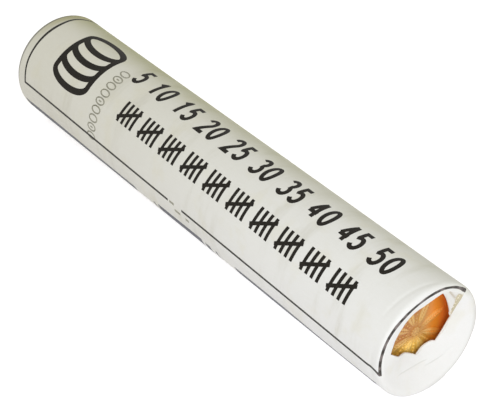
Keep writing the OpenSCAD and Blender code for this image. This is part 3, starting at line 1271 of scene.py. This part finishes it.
def dirty_tone(shader, at, colour):
    """The colour with painted shade in olive along the top, more of it towards the far end, and painted shade
    on the upper side of the far rim."""
    # Painted shade in olive along the top, strongest towards the far end and uneven with the streaks
    top = shader.ramp(at.y, -1.5, 6.0) * shader.ramp(at.up, 3.16, 5.96)
    top = top * shader.ramp(0 - at.x, -52.0, -38.0)
    top_shade = top * at.outside * (0.36 + at.far * 0.74) * (0.6 + at.streaks * 0.8)
    olive_shaded = shader.tint(top_shade, colour, 178, 178, 135)
    # Painted shade on the upper side of the far rim
    rim = shader.ramp(at.past_far, -1.53, -0.13)
    far_rim_shade = rim * shader.ramp(at.y, -8.0, 1.0) * shader.ramp(at.up, 0.66, 4.66) * at.outside
    return shader.tint(far_rim_shade * 0.75, olive_shaded, 164, 159, 108)


# The tone towards the far end, the olive on top and the tone on the far rim are painted shade
print("tones of the paper: fresh, aged, yellow, handled, dusty and stained")

# %% [markdown]
# ## Creases and edges of the paper
# Shade is painted onto the paper: grey along the creases and on the lower back of the near rim, and tan in a
# pocket that light hardly reaches. The mesh could store these tones at its points, but they would come out as
# coarse as its rows. The functions for the flap and its folds take wires as well as arrays, so the material
# draws its lines exactly where the mesh has them.


# %% Creases, pocket and rims
def creased_tone(shader, at, colour):
    """The colour with painted shade along the flap's two creases, on the lower back of the near rim and in
    the pocket beside the flap, and the dark edge of the far rim."""
    near_face = shader.ramp(at.past_near, -1.23, -0.73)
    # Painted shade along the flap's two creases
    left = shader.line(fold_distance(at.y, at.up, left_fold), 0.15) * shader.span(at.y, -4.2, 0.9)
    right = shader.line(fold_distance(at.y, at.up, right_fold), 0.15) * shader.span(at.y, 0.8, 3.4, 1.6)
    rim = shader.ramp(at.past_near, -0.03, 0.32) * at.outside
    # Painted shade on the lower back of the near rim
    rim_shade = rim * shader.ramp(at.y * 0.8 - at.up * 0.6, 2.5, 6.0)
    grey = (left + right) * near_face * 0.36 + rim_shade * 0.3
    crease_shaded = shader.tint(grey, colour, 196, 194, 186)
    past, along = flap_place(at.y, at.up)
    # Painted shade in the pocket beside the flap
    wedge = shader.ramp(past + along * 0.17 - 0.31, 0.0, 0.2) * (1 - shader.ramp(past, 0.005, 0.025))
    shade = wedge * shader.span(along, 2.9, 6.4) * near_face
    shaded = shader.tint(shade * 0.62, crease_shaded, 205, 193, 148)
    far_edge = shader.ramp(at.past_far, 0.02, 0.39) * shader.ramp(0 - at.y, -6.0, -1.0) * at.outside
    return shader.tint(far_edge * 0.72, shaded, 92, 92, 86)


print("creases of the paper: two folds, a pocket and two rims")

# %% [markdown]
# ## The paper itself
# The last step joins those tones, adds the fibres of the pulp, paints shade onto the near crimp's leaf and
# turns to a warmer white for the inside of the sheet. The mesh says where: its stored value is 1 on the
# inside, and smaller where the paper is darker, as with the painted shade on the near crimp's leaf. The
# surface could have its fibres as points of the mesh, but they are only a few thousandths of a millimetre
# high, so a bump is enough: fibres, blotches, and a faint ring at each coin below.

# %% Paper finish
coin_pitch = (stack_ends[1] - stack_ends[0] - coin_t) / (len(coin_nodes) - 1)


def paper_finish():
    """Waxed paper: its tones and painted shade, fibres mixed in, painted shade on the near crimp's leaf, a
    warmer white inside, and a bump of fibres, blotches and a sine wave that has one crest per coin."""
    material, shader = new_finish("waxed_cream_paper")
    at = paper_places(shader)
    fibres = shader.noise(shader.millimetres((0.25, 1, 1)), 3.2, detail=5.0, rough=0.65)
    lining = shader.stored("lining")
    top_shaded = dirty_tone(shader, at, sheet_tone(shader, at))
    pulp = shader.tint(fibres * 0.14, top_shaded, 205, 199, 182)
    crease_shaded = creased_tone(shader, at, pulp)
    # Painted shade where the stored value is a share, brown on the near crimp's leaf; the warmer white
    # follows where it is 1
    leaf_shaded = shader.tint(lining, crease_shaded, 176, 160, 126)
    colour = shader.tint(shader.ramp(lining, 0.75, 0.95), leaf_shaded, 246, 238, 222)
    coin_rings = shader.add("ShaderNodeMath", {"operation": "SINE"}, {0: at.x * (2 * math.pi / coin_pitch)})
    height = fibres * 0.5 + at.blotches * 0.35 + coin_rings * 0.02
    shader.surface({
        "Base Color": colour,
        "Roughness": 0.5 + fibres * 0.22,
        "Specular IOR Level": 0.4,
        "Normal": shader.bump(height, 0.02, 0.5),
    })
    return material


paper = paper_finish()
paper_wrapper.data.materials.append(paper)
print(f"paper on the wrapper, with a faint ring every {coin_pitch:.3f} mm")

# %% [markdown]
# ## Ink
# Black offset ink on this paper is a warm black with pinholes where the paper's grain held it off.
# Where it crosses the rim it has cracked and looks greyer. The dot column is the same ink, but so
# thin that the paper shows through. It could be made transparent, but a paler colour looks the same.
# One recipe makes all four inks: a full colour, a worn one, and how much of it is worn.


# %% Ink finishes
def ink_finish(name, full, worn, wear):
    """Ink between a full and a worn colour: worn in pinholes, and over the rolled rim at the near end."""
    material, shader = new_finish(name)
    place = shader.millimetres()
    grain = shader.noise(place, 4.5, detail=4.0, rough=0.6)
    on_rim = shader.ramp(shader.axes(place)[0], barrel_half, barrel_half + 0.5)
    cracked = on_rim * (shader.ramp(shader.noise(place, 0.9), 0.42, 0.62) * 0.55 + 0.08)
    share = shader.ramp(grain, 0.5, 0.78) * wear + cracked
    shader.surface({
        "Base Color": shader.tint(share, seen_colour(*full), *worn),
        "Roughness": 0.42 + grain * 0.25,
        "Specular IOR Level": 0.15,
    })
    return material


black_ink = ink_finish("black_print_ink", full=(27, 24, 17), worn=(116, 102, 92), wear=0.2)
border_ink = ink_finish("border_ink", full=(44, 42, 38), worn=(156, 146, 142), wear=0.2)
grey_ink = ink_finish("thin_grey_ink", full=(162, 160, 144), worn=(196, 193, 176), wear=0.8)
slate_ink = ink_finish("slate_rule_ink", full=(92, 94, 101), worn=(138, 139, 142), wear=0.6)
printed = [
    ([count_numbers, tally_marks, tally_strikes, coin_stack_mark], black_ink),
    ([printed_border, rolled_border, back_border], border_ink),
    ([dot_column, border_smudges], grey_ink),
    ([heavy_rule, lower_rule, register_marks], slate_ink),
]
for pieces, ink in printed:
    for piece in pieces:
        piece.data.materials.append(ink)
print(f"ink on {sum(len(pieces) for pieces, ink in printed)} pieces of print")

# %% [markdown]
# ## Copper
# The coins are steel with a copper coat. Handling polishes the high parts to a golden colour, while the field
# darkens to a deep orange with brown specks. On the coin that shows, reflection and shade are also painted
# into the colour: orange and red to the side under the flap, as a painted reflection of its shaded underside,
# and gold low on the other side, as painted light and reflection. Plain shiny metal would miss that. The
# relief mesh stores how high each point is, so the material can follow it. The frame's plain coins have no
# such value, which reads as 0, and take the colour of the field.


# %% Copper finish
def copper_finish():
    """Copper: a toned field with painted reflection and shade by place, brown specks, and a pale gold where
    relief is worn.
    """
    material, shader = new_finish("toned_copper")
    place = shader.millimetres()
    y, z = shader.axes(place)[1:]
    toning = shader.noise(place, 0.32, detail=4.0)
    specks = shader.noise(place, 5.0, detail=5.0, rough=0.7)
    field = shader.tint(shader.ramp(toning, 0.3, 0.75), seen_colour(198, 144, 62), 182, 112, 44)
    right = shader.ramp(y, 1.0, 3.6)
    # Painted reflection of the flap's shaded underside: orange towards +Y
    reflected_orange = shader.tint(right * 0.9, field, 255, 156, 48)
    # Painted shade and reflection by the flap's edge: red further towards +Y
    red = shader.tint(shader.ramp(y, 3.6, 5.0) * 0.6, reflected_orange, 255, 118, 50)
    # Painted light and reflection: gold low down towards -Y
    reflected_gold = shader.ramp(axis_z - z, 0.3, 2.2) * shader.ramp(0 - y, -3.0, 0.5)
    reflected_gilt = shader.tint(reflected_gold * 0.95, red, 255, 207, 96)
    brown = shader.ramp(specks, 0.5, 0.75) * (0.6 - right * 0.4)
    stained = shader.tint(brown, reflected_gilt, 150, 84, 34)
    worn = shader.ramp(shader.stored("relief"), 0.35, 0.95)
    shader.surface({
        "Base Color": shader.tint(worn * (0.5 - right * 0.3), stained, 246, 212, 132),
        "Metallic": 0.18,
        "Roughness": 0.24 + specks * 0.16 - worn * 0.04,
        "Normal": shader.bump(specks, 0.01, 0.4),
    })
    return material


copper = copper_finish()
plain_coins = [node for node in coin_nodes if not node.hide_render]
for coin in [near_coin, far_coin] + plain_coins:
    coin.data.materials.clear()
    coin.data.materials.append(copper)
print(f"copper on {len(plain_coins) + 2} coins")

# %% [markdown]
# ## Floor
# The roll lies on a white ground without an edge. More light would make it white, but would flood
# the paper too. So the floor looks white to the camera and to mirrors only. It is an ordinary matt
# surface besides, so it keeps the shadow.

# %% White floor
floor_half = 1500.0
floor_z = -0.03
floor_glow = 0.52


def seeing_rays(shader):
    """1 for rays from the camera, a mirror or glass, 0 for those that only carry light."""
    kinds = ["Is Camera Ray", "Is Glossy Ray", "Is Transmission Ray"]
    camera, glossy, clear = [shader.add("ShaderNodeLightPath", out=kind) for kind in kinds]
    return camera + glossy + clear


floor_corners = np.array([(-1, -1), (1, -1), (1, 1), (-1, 1)]) * floor_half
floor_points = np.column_stack([floor_corners, np.full(4, floor_z)]) * MM
floor_mesh = bpy.data.meshes.new("floor")
floor_mesh.from_pydata(floor_points.tolist(), [], [(0, 1, 2, 3)])
floor = add_object("floor", floor_mesh)
floor_finish, shader = new_finish("white_floor")
matt = shader.add("ShaderNodeBsdfDiffuse", {}, {"Color": (0.96, 0.95, 1.0, 1.0)})
glow = shader.add("ShaderNodeEmission", {}, {"Strength": seeing_rays(shader) * floor_glow})
both = shader.add("ShaderNodeAddShader", {}, {0: matt, 1: glow})
shader.add("ShaderNodeOutputMaterial", {}, {"Surface": both})
floor_mesh.materials.append(floor_finish)
print(f"floor: {2 * floor_half * MM:.0f} m across")

# %% [markdown]
# ## Light
# A small paper object photographed close up needs soft light. A sun would draw hard shadows, so there
# is one large round lamp on the camera's side by the near end, which lets the top edge and the far
# end fall away into shade, and an even sky that is white only where it is seen.

# %% Sky and lamp
sky_level = 0.6
white = (1.0, 1.0, 1.0, 1.0)
warm_sky = (1.0, 0.985, 0.9, 1.0)


def soft_lamp(name, where, aim, size, power, colour):
    """A round lamp at a place in millimetres, turned towards another."""
    lamp_data = bpy.data.lights.new(name, "AREA")
    lamp_data.shape = "DISK"
    lamp_data.size = size * MM
    lamp_data.energy = power
    lamp_data.color = colour
    lamp = add_object(name, lamp_data)
    lamp.location = Vector(where) * MM
    lamp.rotation_euler = (Vector(aim) - Vector(where)).to_track_quat("-Z", "Y").to_euler()


world = bpy.data.worlds.new("white_sky")
bpy.context.scene.world = world
world.use_nodes = True
shader = Shader(world.node_tree)
seen = seeing_rays(shader)
sky_strength = seen * (1 - sky_level) + sky_level
sky = shader.add(
    "ShaderNodeBackground", {}, {"Color": shader.mix(seen, warm_sky, white), "Strength": sky_strength}
)
shader.add("ShaderNodeOutputWorld", {}, {"Surface": sky})
soft_lamp("key_lamp", where=(222, -124, 150), aim=(10, 0, 8), size=180, power=0.36, colour=(0.88, 0.915, 1.0))
bpy.context.scene.view_settings.view_transform = "Standard"
print("an even sky and one soft lamp")

# %% [markdown]
# ## Camera
# The camera stands where the photograph was taken from. It could be placed by eye, but its direction,
# distance and lens were fitted to the outline of the roll, so the long perspective of the barrel
# comes out the same.

# %% Camera
camera_azimuth = math.radians(53.175)
camera_elevation = math.radians(34.774)
camera_distance = 237.65
camera_right = 3.855
camera_up = -3.218
camera_lens = 118.02
camera_sensor = 36

back = Vector((
    math.sin(camera_azimuth) * math.cos(camera_elevation),
    -math.cos(camera_azimuth) * math.cos(camera_elevation),
    math.sin(camera_elevation),
))
right = Vector((math.cos(camera_azimuth), math.sin(camera_azimuth), 0))
up = back.cross(right)
camera_data = bpy.data.cameras.new("camera")
camera_data.sensor_width = camera_sensor
camera_data.lens = camera_lens
camera_data.clip_start = 10 * MM
camera = add_object("camera", camera_data)
target = Vector((0, 0, axis_z)) + camera_right * right + camera_up * up
camera.location = (target + camera_distance * back) * MM
camera.rotation_euler = (-back).to_track_quat("-Z", "Y").to_euler()
bpy.context.scene.camera = camera
print(f"camera {camera_distance:.0f} mm from the roll")
